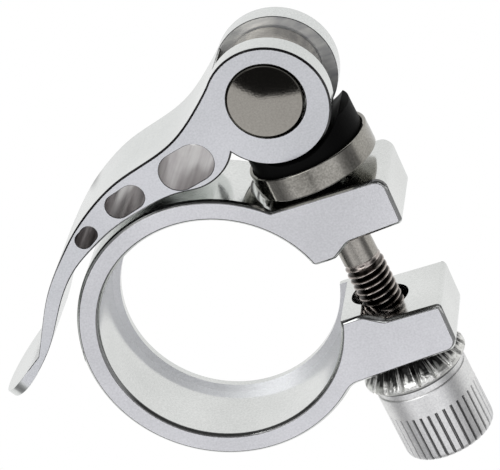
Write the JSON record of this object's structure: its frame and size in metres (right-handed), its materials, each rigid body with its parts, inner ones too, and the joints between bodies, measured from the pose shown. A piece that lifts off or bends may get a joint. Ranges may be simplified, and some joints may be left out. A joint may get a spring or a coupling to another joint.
{
  "type": "quick-release seatpost clamp",
  "caption": "Quick-release seatpost clamp with a forked cam lever, an eye bolt and a knurled thumb nut.",
  "frame": {"origin": "On the bore's axis, in the plane of the lip's shoulder where the end of the seat tube rests.", "axes": "+Z along the bore out of the open end, the lipped end down; +X from the bore out along the ears; +Y from the thumb nut to the lever's pivot."},
  "size_m": [0.0675, 0.0699, 0.018],
  "materials": {
    "collar_aluminium": "satin polished, pale silver",
    "lever_aluminium": "satin polished, pale silver",
    "pin_nickel": "warm grey nickel plate, fairly smooth",
    "bolt_steel": "warm grey plated steel",
    "saddle_plastic": "glossy black",
    "cup_steel": "brushed, warm grey",
    "nut_aluminium": "satin, light silver"
  },
  "bodies": {
    "collar": {"collar": "collar_aluminium", "cup": "cup_steel", "saddle": "saddle_plastic"},
    "eye_bolt": {"eye_bolt": "bolt_steel"},
    "lever": {"lever": "lever_aluminium", "pivot_pin": "pin_nickel"},
    "toothed_washer": {"toothed_washer": "nut_aluminium"},
    "thumb_nut": {"thumb_nut": "nut_aluminium"}
  },
  "joints": [
    {"name": "bolt_travel", "type": "slide", "parent": "collar", "child": "eye_bolt", "axis": [0.0417, -0.9991, 0], "range_m": [0, 0.00097]},
    {"name": "lever_pivot", "type": "hinge", "parent": "eye_bolt", "child": "lever", "pos_m": [0.02048, 0.03048, 0.0055], "axis": [0, 0, -1], "range_deg": [0, 160]},
    {"name": "washer_travel", "type": "slide", "parent": "eye_bolt", "child": "toothed_washer", "axis": [0.0417, -0.9991, 0], "range_m": [0, 0.003]},
    {"name": "nut_turn", "type": "hinge", "parent": "toothed_washer", "child": "thumb_nut", "pos_m": [0.02254, -0.01892, 0.0055], "axis": [0.0417, -0.9991, 0], "range_deg": [0, 1080]}
  ],
  "couplings": [
    {"joint": "bolt_travel", "follows": "lever_pivot", "m_per_rad": 0.000347},
    {"joint": "washer_travel", "follows": "nut_turn", "m_per_rad": 0.00015915}
  ]
}
